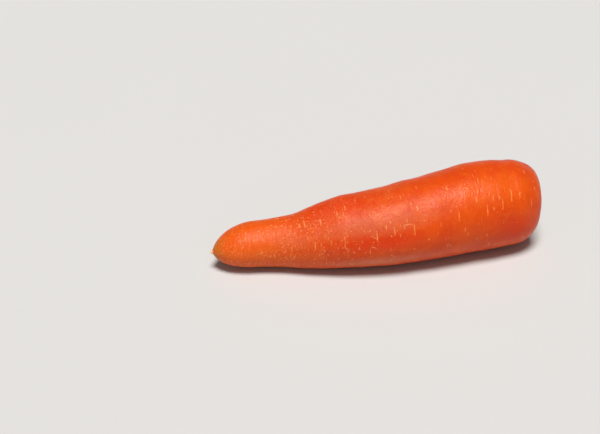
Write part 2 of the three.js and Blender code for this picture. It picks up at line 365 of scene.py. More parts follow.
def unevenness(distance, angle):
    """How far the section departs from a circle, as a share of the radius."""
    turn = 2 * pi * distance / SWELLING_LENGTH + SWELLING_BEND * np.cos(angle)
    share = SWELLING_SHARE * np.sin(turn)
    for height, waves, twist, phase in LOBES:
        share = share + height * np.cos(waves * angle + twist * distance + phase)
    upper_share = (1 + np.sin(angle)) / 2
    return share * np.minimum(1, TRUE_SPREAD * upper_share)


def skin_points(distance, angle, radius, depth=0):
    """Points of the skin, in millimetres. depth is how far they lie below the crest, in the hollow."""
    reach = radius * (1 + unevenness(distance, angle))
    y = reach * np.cos(angle)
    z = reach * np.sin(angle)
    fade = np.maximum(0, 1 - distance / LEAN_REACH) ** 2
    lean = CROWN_LEAN * fade * (LEAN_Y * y + LEAN_Z * z)
    return np.stack([
        CROWN_X - distance + lean - depth,
        axis_side(distance) + y,
        np.maximum(0, axis_height(distance) + z),
    ], axis=-1)


def root_scars():
    """The root scars from crown to nose, as distance, degrees, length and the number of their ring. A ring
    has one side's scar and one of the other side, whose double row runs the other way, or a stray."""
    rings = [
        (distance, [(degrees, length), (other_degrees + HALF_TURN, other_length)])
        for (distance, degrees, length), (_, other_degrees, other_length) in zip(SIDE_SCARS, SIDE_SCARS[::-1])
    ]
    places = [distance for distance, _ in rings]
    gaps = [(before, after) for before, after in zip(places, places[1:]) if after - before >= STRAY_ROOM]
    for number, gap in enumerate(gaps):
        rings.append((sum(gap) / 2, [(number * STRAY_TURN, STRAY_SCAR)]))
    return [
        (distance, degrees, length, number)
        for number, (distance, scars) in enumerate(sorted(rings)) for degrees, length in scars
    ]


# ---- Materials ----


def stretched_noise(tree, place, along, across, detail):
    """Noise with features this long along the root and this wide across it, in millimetres."""
    stretched = add(tree, "ShaderNodeMapping", {
        "Vector": place, "Scale": (1 / (along * MM), 1 / (across * MM), 1 / (across * MM)),
    })
    return add(tree, "ShaderNodeTexNoise", {"Vector": stretched, "Scale": 1, "Detail": detail})


def wavering(tree, place, size, reach):
    """An offset that wanders in waves of this size, by up to half the reach either way."""
    wave = add(tree, "ShaderNodeTexNoise", {"Vector": place, "Scale": 1 / size, "Detail": 1})
    wave = add(tree, "ShaderNodeVectorMath", {0: wave.outputs["Color"], 1: [0.5] * 3}, operation="SUBTRACT")
    return add(tree, "ShaderNodeVectorMath", {0: wave, "Scale": reach}, operation="SCALE")


def angle_from(tree, angle, middle):
    """How far an angle is from a middle, between half a turn back and half a turn ahead."""
    away = add(tree, "ShaderNodeMath", {0: angle, 1: middle}, operation="SUBTRACT")
    return add(tree, "ShaderNodeMath", {0: away, 1: pi, 2: -pi}, operation="WRAP")


def strength_in_patch(tree, distance, angle, patch):
    """A long patch's strength: all of it round the patch's middle, and none at its edge."""
    middle, degrees, length, span, strength = patch
    along = add(tree, "ShaderNodeMath", {0: distance, 1: middle * MM}, operation="SUBTRACT")
    along = add(tree, "ShaderNodeMath", {0: along, 1: length / 2 * MM}, operation="DIVIDE")
    around = angle_from(tree, angle, radians(degrees))
    around = add(tree, "ShaderNodeMath", {0: around, 1: radians(span / 2)}, operation="DIVIDE")
    out = add(tree, "ShaderNodeCombineXYZ", {"X": along, "Y": around})
    out = add(tree, "ShaderNodeVectorMath", {0: out}, operation="LENGTH").outputs["Value"]
    return add(tree, "ShaderNodeMapRange", {
        "Value": out, "From Min": 1.0, "From Max": 0.15, "To Max": strength,
    }, interpolation_type="SMOOTHSTEP")


def rubbed_strength(tree, place):
    """How far the skin is rubbed at a place: 1 or more where its cuticle is scratched to a pale grain."""
    rubbed = 0.0
    for distance, degrees, length in RUBS:
        middle = skin_points(distance, radians(degrees), root_radius(distance)) * MM
        away = add(tree, "ShaderNodeVectorMath", {0: place, 1: middle}, operation="DISTANCE")
        near = add(tree, "ShaderNodeMapRange", {
            "Value": away.outputs["Value"], "From Min": length / 2 * MM, "From Max": 0.0, "To Max": 1.2,
        }, interpolation_type="SMOOTHSTEP")
        rubbed = add(tree, "ShaderNodeMath", {0: near, 1: rubbed}, operation="MAXIMUM")
    return rubbed


def nick_strength(tree, place):
    """Nicks: thin curled cuts, where a fingernail or a stone caught the skin. A nick's turn is from the
    direction of the nose."""
    nicked = 0.0
    for distance, degrees, radius, turn, half_span in NICKS:
        middle, ahead, aside = (
            Vector(skin_points(distance + along, radians(degrees + around), root_radius(distance)))
            for along, around in ((0, 0), (1, 0), (0, 1))
        )
        turned = Matrix.Rotation(radians(turn), 3, (ahead - middle).cross(aside - middle))
        towards = turned @ (ahead - middle).normalized()
        out = add(tree, "ShaderNodeVectorMath", {0: place, 1: middle * MM}, operation="SUBTRACT")
        reach = add(tree, "ShaderNodeVectorMath", {0: out}, operation="LENGTH").outputs["Value"]
        off = add(tree, "ShaderNodeMath", {0: reach, 1: radius * MM}, operation="SUBTRACT")
        off = add(tree, "ShaderNodeMath", {0: off}, operation="ABSOLUTE")
        line = add(tree, "ShaderNodeMapRange", {
            "Value": off, "From Min": 0.4 * MM, "From Max": 0.1 * MM, "To Max": 0.7,
        })
        side = add(tree, "ShaderNodeVectorMath", {0: out, 1: towards}, operation="DOT_PRODUCT")
        end = radius * cos(radians(half_span)) * MM
        drawn = add(tree, "ShaderNodeMapRange", {
            "Value": side.outputs["Value"], "From Min": end, "From Max": end + 0.1 * radius * MM,
        })
        line = add(tree, "ShaderNodeMath", {0: line, 1: drawn}, operation="MULTIPLY")
        nicked = add(tree, "ShaderNodeMath", {0: line, 1: nicked}, operation="MAXIMUM")
    return nicked


def fleck_strength(tree, place, grains, to_nose):
    """How pale the skin's flecks are: corky grains, dots, dashes and nicks. They crowd on the nose and where
    the skin is rubbed."""
    clumps = add(tree, "ShaderNodeTexNoise", {"Vector": place, "Scale": 1 / (9 * MM), "Detail": 3})
    clump = add(tree, "ShaderNodeMapRange", {
        "Value": clumps, "From Min": 0.36, "From Max": 0.64, "To Min": 0.4,
    })
    share = add(tree, "ShaderNodeMapRange", {"Value": to_nose, "To Min": 0.2, "To Max": 0.95})
    share = add(tree, "ShaderNodeMath", {0: share, 1: clump}, operation="MULTIPLY")
    share = add(tree, "ShaderNodeMath", {0: rubbed_strength(tree, place), 1: share}, operation="MAXIMUM")

    # Grains half a millimetre across, where their noise is over a limit.
    limit = add(tree, "ShaderNodeMapRange", {"Value": share, "From Max": 1.4, "To Min": 0.7, "To Max": 0.49})
    pale = add(tree, "ShaderNodeMath", {0: grains, 1: limit}, operation="SUBTRACT")
    pale = add(tree, "ShaderNodeMapRange", {"Value": pale, "From Max": 0.07, "To Max": 0.38})

    # The marks below waver a little.
    wavy = add(tree, "ShaderNodeVectorMath", {0: place, 1: wavering(tree, place, 0.8 * MM, 1.1 * MM)})

    # Lenticels: round corky dots a millimetre across, several millimetres apart. Short pale dashes across
    # the root, half a millimetre by 2 to 3 mm.
    dot_limit = add(tree, "ShaderNodeMath", {0: share, 1: 0.3}, operation="MULTIPLY")
    dash_limit = add(tree, "ShaderNodeMapRange", {"Value": to_nose, "To Min": 0.34, "To Max": 0.4})
    dash_place = add(tree, "ShaderNodeMapping", {
        "Vector": wavy, "Scale": (1 / (2.2 * MM), 1 / (9 * MM), 1 / (9 * MM)),
    })
    for mark_place, scale, limit, rim, strength in (
        (wavy, 1 / (3 * MM), dot_limit, 0.24, 0.64), (dash_place, 1, dash_limit, 0.2, 0.45),
    ):
        cells = add(tree, "ShaderNodeTexVoronoi", {"Vector": mark_place, "Scale": scale})
        chance = add(tree, "ShaderNodeSeparateColor", {"Color": cells.outputs["Color"]})
        kept = add(tree, "ShaderNodeMath", {0: chance, 1: limit}, operation="LESS_THAN")
        mark = add(tree, "ShaderNodeMapRange", {
            "Value": cells.outputs["Distance"], "From Min": rim, "From Max": 0.1, "To Max": strength,
        })
        mark = add(tree, "ShaderNodeMath", {0: mark, 1: kept}, operation="MULTIPLY")
        pale = add(tree, "ShaderNodeMath", {0: mark, 1: pale}, operation="MAXIMUM")
    return add(tree, "ShaderNodeMath", {0: nick_strength(tree, wavy), 1: pale}, operation="MAXIMUM")


def skin_material(colours):
    """Washed carrot skin: a thin moist cuticle over orange flesh that lets light in, so the colour looks
    deep and the gloss soft. The nose, scoured by the soil, is grainier and duller than the crown."""
    material, tree, place = new_material("Washed carrot skin")
    distance, angle, scar, crease = (
        add(tree, "ShaderNodeAttribute", attribute_name=name).outputs["Fac"]
        for name in ("distance", "angle", "scar", "crease")
    )
    to_nose = add(tree, "ShaderNodeMapRange", {
        "Value": distance, "From Min": 55 * MM, "From Max": 175 * MM,
    }, interpolation_type="SMOOTHSTEP")
    layers = []  # strength and colour of what is painted over the orange, in turn

    # Broad patches of deeper and lighter orange, about 22 mm across, with finer ones of 5 mm on them.
    patches = add(tree, "ShaderNodeTexNoise", {"Vector": place, "Scale": 1 / (22 * MM), "Detail": 3})
    mottle = add(tree, "ShaderNodeTexNoise", {"Vector": place, "Scale": 1 / (5 * MM), "Detail": 3})
    deep = add(tree, "ShaderNodeMapRange", {"Value": patches, "From Min": 0.38, "From Max": 0.66})
    light = add(tree, "ShaderNodeMapRange", {
        "Value": mottle, "From Min": 0.5, "From Max": 0.72, "To Max": 0.4,
    })
    layers += [(deep, colours.deep_orange), (light, colours.light_orange)]

    # Faint bands round the root, 1.6 mm apart and 18 mm long, and painted shade along the creases: dark lines
    # of deeper orange.
    bands = stretched_noise(tree, place, 1.6, 18, 2)
    band = add(tree, "ShaderNodeMapRange", {
        "Value": bands, "From Min": 0.5, "From Max": 0.75, "To Max": 0.14,
    })
    crease_shade = add(tree, "ShaderNodeMath", {0: crease, 1: 0.5}, operation="MULTIPLY")
    layers += [(band, colours.light_orange), (crease_shade, colours.deep_orange)]

    # Longer patches of redder skin that are also painted shade, and patches of painted light in lighter
    # orange.
    for paint, patches_of_it in ((colours.red_orange, RED_AND_SHADE_PATCHES), (colours.light_orange, PAINTED_LIGHT_PATCHES)):
        layers += [(strength_in_patch(tree, distance, angle, patch), paint) for patch in patches_of_it]

    # Dry film: towards the nose the skin has dried paler and duller, in patches 34 mm long and 15 mm round.
    # The same pale paint also lays painted sheen along the highlight band and a painted reflection of the
    # floor, in long patches.
    film_and_sheen = stretched_noise(tree, place, 34, 15, 3)
    film_and_sheen = add(tree, "ShaderNodeMapRange", {"Value": film_and_sheen, "From Min": 0.36, "From Max": 0.62})
    dried = add(tree, "ShaderNodeMapRange", {
        "Value": distance, "From Min": 50 * MM, "From Max": 200 * MM, "To Min": 0.1,
    })
    film_and_sheen = add(tree, "ShaderNodeMath", {0: film_and_sheen, 1: dried}, operation="MULTIPLY")
    film_and_sheen_strength = add(tree, "ShaderNodeMath", {0: film_and_sheen, 1: 0.12}, operation="MULTIPLY")
    # Painted sheen along the highlight band and a painted reflection of the floor, in long patches.
    for patch in PAINTED_SHEEN_PATCHES:
        strength = strength_in_patch(tree, distance, angle, patch)
        film_and_sheen_strength = add(tree, "ShaderNodeMath", {0: film_and_sheen_strength, 1: strength}, operation="MAXIMUM")

    # Fine darker pores, a millimetre across where they are coarse enough to show, most of all on the nose.
    pores = add(tree, "ShaderNodeTexNoise", {"Vector": place, "Scale": 1 / (1.3 * MM), "Detail": 2})
    pore = add(tree, "ShaderNodeMapRange", {
        "Value": pores, "From Min": 0.5, "From Max": 0.67, "To Max": 0.42,
    })
    pitted = add(tree, "ShaderNodeMapRange", {"Value": to_nose, "To Min": 0.3})
    pore = add(tree, "ShaderNodeMath", {0: pore, 1: pitted}, operation="MULTIPLY")
    layers += [(film_and_sheen_strength, colours.film_and_sheen), (pore, colours.pore)]

    # The nose is a little paler, and dull brown round the pale broken tail. The crown's hollow is greenish
    # brown, where the shoulder saw the sun.
    ragged = add(tree, "ShaderNodeMath", {0: mottle, 1: 10 * MM}, operation="MULTIPLY")
    ragged = add(tree, "ShaderNodeMath", {0: ragged, 1: distance}, operation="ADD")
    for reach, start, full, most, fade, paint in (
        (distance, 135, 190, 0.4, "SMOOTHSTEP", colours.light_orange),
        (ragged, 209, 220, 0.85, "SMOOTHSTEP", colours.tip),
        (distance, ROOT_LENGTH - 0.4, ROOT_LENGTH + 0.4, 1, "LINEAR", colours.fibre),
        (ragged, 6, -5, 1, "SMOOTHSTEP", colours.crown),
    ):
        strength = add(tree, "ShaderNodeMapRange", {
            "Value": reach, "From Min": start * MM, "From Max": full * MM, "To Max": most,
        }, interpolation_type=fade)
        layers.append((strength, paint))

    # Corky flecks, and the root scars' lips, yellower than the flecks and broken along their length.
    grains = stretched_noise(tree, place, 1.0, 1.5, 2)
    fleck = fleck_strength(tree, place, grains, to_nose)
    broken = add(tree, "ShaderNodeMapRange", {
        "Value": grains, "From Min": 0.36, "From Max": 0.58, "To Min": 0.2, "To Max": 0.6,
    })
    cork = add(tree, "ShaderNodeMapRange", {"Value": scar, "From Min": 0.2, "From Max": 0.65})
    cork = add(tree, "ShaderNodeMath", {0: cork, 1: broken}, operation="MULTIPLY")
    pale = add(tree, "ShaderNodeMath", {0: cork, 1: fleck}, operation="MAXIMUM")
    layers += [(fleck, colours.fleck), (cork, colours.cork)]

    # The cuticle is satin on the crown. Cork, the dry film and the scoured nose are duller.
    rough = add(tree, "ShaderNodeMapRange", {"Value": to_nose, "To Min": 0.35, "To Max": 0.4})
    uneven = add(tree, "ShaderNodeMapRange", {
        "Value": patches, "From Min": 0.3, "From Max": 0.7, "To Min": -0.05, "To Max": 0.07,
    })
    for dullness, share in ((uneven, 1.0), (film_and_sheen, 0.06), (pale, 0.2)):
        rough = add(tree, "ShaderNodeMath", {0: dullness, 1: share, 2: rough}, operation="MULTIPLY_ADD")

    # Its grain is a millimetre, coarse enough to show, on mounds of 5 mm, and the cork stands a little proud.
    fine = add(tree, "ShaderNodeTexNoise", {"Vector": place, "Scale": 1 / (1.1 * MM), "Detail": 2})
    height = 0.0
    for relief, share in ((fine, 3.0), (bands, 1.2), (mottle, 4.0), (pale, 0.8)):
        height = add(tree, "ShaderNodeMath", {0: relief, 1: share, 2: height}, operation="MULTIPLY_ADD")
    bump = add(tree, "ShaderNodeBump", {"Height": height, "Strength": 0.6, "Distance": 0.14 * MM})
    close_material(tree, {
        "Base Color": paint_over(tree, colours.orange, layers), "Roughness": rough, "Normal": bump,
        "IOR": 1.36, "Specular IOR Level": 0.42, "Specular Tint": (1, 0.82, 0.68, 1),
        "Subsurface Weight": 0.6, "Subsurface Radius": (1.0, 0.25, 0.08), "Subsurface Scale": 5 * MM,
    })
    return material


def stalk_material(colours):
    """Cut leaf stalk: green ribbed skin that has dried to tan in patches, round a pale cut face that has
    browned at its edge."""
    material, tree, place = new_material("Cut leaf stalk")
    cut = add(tree, "ShaderNodeAttribute", attribute_name="cut").outputs["Fac"]
    rib = add(tree, "ShaderNodeAttribute", attribute_name="rib").outputs["Fac"]
    mottle = add(tree, "ShaderNodeTexNoise", {"Vector": place, "Scale": 1 / (3 * MM), "Detail": 4})
    dry = add(tree, "ShaderNodeMapRange", {"Value": mottle, "From Min": 0.38, "From Max": 0.62})
    # Painted shade: brown lies in the grooves between a stalk's ribs, faintly on its hollow inner side, and
    # in the low parts of the stem's marks.
    groove = add(tree, "ShaderNodeMapRange", {"Value": rib, "From Min": 1.0, "From Max": -1.0, "To Max": 0.4})

    # Pith cells show on the cut as pale dots, half a millimetre apart.
    cells = add(tree, "ShaderNodeTexVoronoi", {"Vector": place, "Scale": 1 / (0.5 * MM)})
    between = add(tree, "ShaderNodeMapRange", {
        "Value": cells.outputs["Distance"], "From Min": 0.3, "From Max": 0.6, "To Max": 0.25,
    })
    pith = paint_over(tree, colours.pith, [(between, colours.brown)])
    edge = add(tree, "ShaderNodeMapRange", {"Value": cut, "From Min": 0.1, "From Max": 0.6})
    colour = paint_over(tree, colours.green, [(dry, colours.tan), (groove, colours.brown), (edge, pith)])
    fibres = add(tree, "ShaderNodeTexNoise", {"Vector": place, "Scale": 1 / (0.4 * MM), "Detail": 2})
    bump = add(tree, "ShaderNodeBump", {"Height": fibres, "Strength": 0.6, "Distance": 0.15 * MM})
    close_material(tree, {
        "Base Color": colour, "Normal": bump, "Roughness": 0.72,
        "Subsurface Weight": 0.15, "Subsurface Radius": (0.8, 0.8, 0.3), "Subsurface Scale": 1 * MM,
    })
    return material


def fibre_material(colours):
    """Dried rootlet: a straw-pale fibre, dull, and still orange in spots."""
    material, tree, place = new_material("Dried rootlet")
    spots = add(tree, "ShaderNodeTexNoise", {"Vector": place, "Scale": 1 / (0.8 * MM), "Detail": 2})
    colour = paint_over(tree, colours.fibre, [(spots, colours.cork)])
    close_material(tree, {"Base Color": colour, "Roughness": 0.6})
    return material


def floor_material(paint):
    """Matt painted board: an even pale floor, a little cloudy from the roller."""
    material, tree, place = new_material("Matt painted board")
    clouds = add(tree, "ShaderNodeTexNoise", {"Vector": place, "Scale": 1 / (200 * MM), "Detail": 2})
    tone = add(tree, "ShaderNodeMapRange", {"Value": clouds, "To Min": 0.985})
    colour = add(tree, "ShaderNodeVectorMath", {0: paint[:3], "Scale": tone}, operation="SCALE")
    close_material(tree, {"Base Color": colour, "Roughness": 0.8, "Specular IOR Level": 0.2})
    return material


# ---- Trees of geometry nodes ----


def add_root_scars(tree, given):
    """Marks the root scars on the skin, one after another: the attribute "scar" is 1 along the middle of a
    scar and falls to 0 at its rim. The scars' places are points, each with its distance, angle and length,
    and the angle at which its ring leans furthest ahead."""
    places = add(tree, "GeometryNodeObjectInfo", {"Object": given["Scar Places"]}).outputs["Geometry"]
    start = add(tree, "GeometryNodeRepeatInput")
    end = add(tree, "GeometryNodeRepeatOutput")
    start.pair_with_output(end)
    count = add(tree, "GeometryNodeAttributeDomainSize", {"Geometry": places}).outputs["Point Count"]
    tree.links.new(count, start.inputs["Iterations"])
    tree.links.new(given["Geometry"], start.inputs["Geometry"])

    def of_skin(name):
        return add(tree, "GeometryNodeInputNamedAttribute", {"Name": name})

    def of_scar(name):
        return add(tree, "GeometryNodeSampleIndex", {
            "Geometry": places, "Value": of_skin(name), "Index": start.outputs["Iteration"],
        })

    # How far along the scar a point lies, from -1 to 1, and how far across it.
    away = angle_from(tree, of_skin("angle"), of_scar("angle"))
    away = add(tree, "ShaderNodeMath", {0: away, 1: of_skin("radius")}, operation="MULTIPLY")
    half = add(tree, "ShaderNodeMath", {0: of_scar("length"), 1: 0.5}, operation="MULTIPLY")
    away = add(tree, "ShaderNodeMath", {0: away, 1: half}, operation="DIVIDE")
    lean = add(tree, "ShaderNodeMath", {0: of_skin("angle"), 1: of_scar("lean")}, operation="SUBTRACT")
    lean = add(tree, "ShaderNodeMath", {0: lean}, operation="COSINE")
    middle = add(tree, "ShaderNodeMath", {
        0: lean, 1: given["Scar Tilt"], 2: of_scar("distance"),
    }, operation="MULTIPLY_ADD")
    across = add(tree, "ShaderNodeMath", {0: of_skin("distance"), 1: middle}, operation="SUBTRACT")

    # A scar wanders by up to 0.7 mm, in waves of 2.4 mm, and tapers to its ends.
    waves = add(tree, "ShaderNodeTexNoise", {"Scale": 1 / (2.4 * MM), "Detail": 1})
    waves = add(tree, "ShaderNodeMapRange", {"Value": waves, "To Min": -0.7 * MM, "To Max": 0.7 * MM})
    across = add(tree, "ShaderNodeMath", {0: across, 1: waves}, operation="ADD")
    across = add(tree, "ShaderNodeMath", {0: across, 1: given["Scar Half Width"]}, operation="DIVIDE")
    taper = add(tree, "ShaderNodeMath", {0: away, 1: 4.0}, operation="POWER")
    off = add(tree, "ShaderNodeCombineXYZ", {"X": taper, "Y": across})
    off = add(tree, "ShaderNodeVectorMath", {0: off}, operation="LENGTH")
    depth = add(tree, "ShaderNodeMath", {0: 1.0, 1: off.outputs["Value"]}, operation="SUBTRACT")
    scar = add(tree, "ShaderNodeMath", {0: of_skin("scar"), 1: depth}, operation="MAXIMUM")
    marked = add(tree, "GeometryNodeStoreNamedAttribute", {
        "Geometry": start.outputs["Geometry"], "Name": "scar", "Value": scar,
    })
    tree.links.new(marked.outputs["Geometry"], end.inputs["Geometry"])
    return end.outputs["Geometry"]


def skin_tree():
    """Raises and sinks the skin along its normals: broad dents, low rings, creases, root scars, the
    wrinkles of the crown's hollow and the frayed end of the tail."""
    tree, given = new_tree("Carrot skin", {
        "Object": ["Scar Places"],
        "Float": [
            "Scar Tilt", "Scar Half Width", "Scar Depth", "Lip Height", "Dent Height", "Dent Size",
            "Ring Height", "Ring Spacing", "Ring Length", "Crease Depth", "Crease Spacing",
            "Wrinkle Height", "Wrinkle Spacing", "Fray", "Fray Start", "Fray End", "Inset", "Clear Height",
        ],
        "Material": ["Skin"],
    })
    skin = add_root_scars(tree, given)
    place = add(tree, "GeometryNodeInputPosition")
    distance = add(tree, "GeometryNodeInputNamedAttribute", {"Name": "distance"})

    def noise_of(along, across):
        """Noise between -0.5 and 0.5, with features this long along the root and this wide across it."""
        size = add(tree, "ShaderNodeCombineXYZ", {"X": along, "Y": across, "Z": across})
        scaled = add(tree, "ShaderNodeVectorMath", {0: place, 1: size}, operation="DIVIDE")
        noise = add(tree, "ShaderNodeTexNoise", {"Vector": scaled, "Scale": 1.0, "Detail": 1.0})
        return add(tree, "ShaderNodeMath", {0: noise, 1: 0.5}, operation="SUBTRACT")

    dents = noise_of(given["Dent Size"], given["Dent Size"])
    rings = noise_of(given["Ring Spacing"], given["Ring Length"])
    height = add(tree, "ShaderNodeMath", {0: dents, 1: given["Dent Height"]}, operation="MULTIPLY")
    height = add(tree, "ShaderNodeMath", {
        0: rings, 1: given["Ring Height"], 2: height,
    }, operation="MULTIPLY_ADD")

    # A crease runs where its noise crosses nought, in patches.
    lines = noise_of(given["Crease Spacing"], given["Ring Length"])
    lines = add(tree, "ShaderNodeMath", {0: lines}, operation="ABSOLUTE")
    line = add(tree, "ShaderNodeMapRange", {
        "Value": lines, "From Min": 0.035, "From Max": 0.0,
    }, interpolation_type="SMOOTHSTEP")
    patch = add(tree, "ShaderNodeMapRange", {"Value": dents, "From Min": -0.05, "From Max": 0.08})
    crease = add(tree, "ShaderNodeMath", {0: line, 1: patch}, operation="MULTIPLY")
    sunk = add(tree, "ShaderNodeMath", {0: crease, 1: given["Crease Depth"]}, operation="MULTIPLY")
    height = add(tree, "ShaderNodeMath", {0: height, 1: sunk}, operation="SUBTRACT")

    # A scar is a groove with a low lip on either side.
    scar = add(tree, "GeometryNodeInputNamedAttribute", {"Name": "scar"})
    lip = add(tree, "ShaderNodeMapRange", {
        "Value": scar, "From Max": 0.35, "To Max": given["Lip Height"],
    }, interpolation_type="SMOOTHSTEP")
    groove = add(tree, "ShaderNodeMapRange", {
        "Value": scar, "From Min": 0.35, "From Max": 0.9, "To Max": given["Scar Depth"],
    }, interpolation_type="SMOOTHSTEP")
    height = add(tree, "ShaderNodeMath", {0: height, 1: lip}, operation="ADD")
    height = add(tree, "ShaderNodeMath", {0: height, 1: groove}, operation="SUBTRACT")

    # Wrinkles run round the hollow, and fibres along the tail.
    wrinkles = noise_of(given["Wrinkle Spacing"], given["Wrinkle Spacing"])
    hollow = add(tree, "ShaderNodeMapRange", {
        "Value": distance, "From Min": 3 * MM, "From Max": -4 * MM, "To Max": given["Wrinkle Height"],
    }, interpolation_type="SMOOTHSTEP")
    height = add(tree, "ShaderNodeMath", {0: wrinkles, 1: hollow, 2: height}, operation="MULTIPLY_ADD")
    fibres = noise_of(5 * MM, 0.7 * MM)
    tail = add(tree, "ShaderNodeMapRange", {
        "Value": distance, "From Min": given["Fray Start"], "From Max": given["Fray End"],
        "To Max": given["Fray"],
    }, interpolation_type="SMOOTHSTEP")
    height = add(tree, "ShaderNodeMath", {0: fibres, 1: tail, 2: height}, operation="MULTIPLY_ADD")

    # The skin lies a little inside the plain form, and the underside stays flat where it rests.
    height = add(tree, "ShaderNodeMath", {0: height, 1: given["Inset"]}, operation="SUBTRACT")
    above = add(tree, "ShaderNodeSeparateXYZ", {"Vector": place})
    free = add(tree, "ShaderNodeMapRange", {"Value": above.outputs["Z"], "From Max": given["Clear Height"]})
    height = add(tree, "ShaderNodeMath", {0: height, 1: free}, operation="MULTIPLY")
    normal = add(tree, "GeometryNodeInputNormal")
    offset = add(tree, "ShaderNodeVectorMath", {0: normal, "Scale": height}, operation="SCALE")
    marked = add(tree, "GeometryNodeStoreNamedAttribute", {
        "Geometry": skin, "Name": "crease", "Value": crease,
    })
    moved = add(tree, "GeometryNodeSetPosition", {"Geometry": marked, "Offset": offset})
    close_tree(tree, moved, given["Skin"])
    return tree


def stalk_spiral_tree():
    """Stands stalks in a spiral on the stem, the outer ones wider, lower and leaning out."""
    tree, given = new_tree("Stalks in a spiral", {
        "Object": ["Stalk"],
        "Int": ["Count"],
        "Float": ["Turn", "Spread", "Root Height", "Raggedness", "Outer Tilt", "Inner Tilt"],
        "Vector": ["Outer Size", "Inner Size"],
        "Material": ["Flesh"],
    })
    number = add(tree, "GeometryNodeInputIndex")
    last = add(tree, "ShaderNodeMath", {0: given["Count"], 1: 1.0}, operation="SUBTRACT")
    inwards = add(tree, "ShaderNodeMath", {0: number, 1: last}, operation="DIVIDE")
    turn = add(tree, "ShaderNodeMath", {0: number, 1: given["Turn"]}, operation="MULTIPLY")
    left = add(tree, "ShaderNodeMath", {0: number, 1: given["Count"]}, operation="DIVIDE")
    left = add(tree, "ShaderNodeMath", {0: 1.0, 1: left}, operation="SUBTRACT")
    left = add(tree, "ShaderNodeMath", {0: left}, operation="SQRT")
    reach = add(tree, "ShaderNodeMath", {0: left, 1: given["Spread"]}, operation="MULTIPLY")
    foot = add(tree, "ShaderNodeCombineXYZ", {"X": reach, "Z": given["Root Height"]})
    foot = add(tree, "ShaderNodeVectorRotate", {"Vector": foot, "Angle": turn}, rotation_type="Z_AXIS")

    size = add(tree, "ShaderNodeMix", {
        "Factor": inwards, "A": given["Outer Size"], "B": given["Inner Size"],
    }, data_type="VECTOR")
    rag = add(tree, "ShaderNodeMath", {0: number, 1: CUT_STEP}, operation="MULTIPLY")
    rag = add(tree, "ShaderNodeMath", {0: rag}, operation="SINE")
    rag = add(tree, "ShaderNodeMath", {0: rag, 1: given["Raggedness"]}, operation="MULTIPLY")
    rag = add(tree, "ShaderNodeCombineXYZ", {"Z": rag})
    size = add(tree, "ShaderNodeVectorMath", {0: size, 1: rag})
    tilt = add(tree, "ShaderNodeMix", {
        "Factor": inwards, "A": given["Outer Tilt"], "B": given["Inner Tilt"],
    })
    lean = add(tree, "ShaderNodeCombineXYZ", {"Y": tilt, "Z": turn})

    feet = add(tree, "GeometryNodeMeshLine", {"Count": given["Count"]})
    feet = add(tree, "GeometryNodeSetPosition", {"Geometry": feet, "Position": foot})
    stalk = add(tree, "GeometryNodeObjectInfo", {"Object": given["Stalk"]}).outputs["Geometry"]
    stalks = add(tree, "GeometryNodeInstanceOnPoints", {
        "Points": feet, "Instance": stalk, "Rotation": lean, "Scale": size,
    })
    whole = add(tree, "GeometryNodeJoinGeometry", {"Geometry": stalks})
    tree.links.new(given["Geometry"], whole.inputs[0])
    close_tree(tree, whole, given["Flesh"])
    return tree


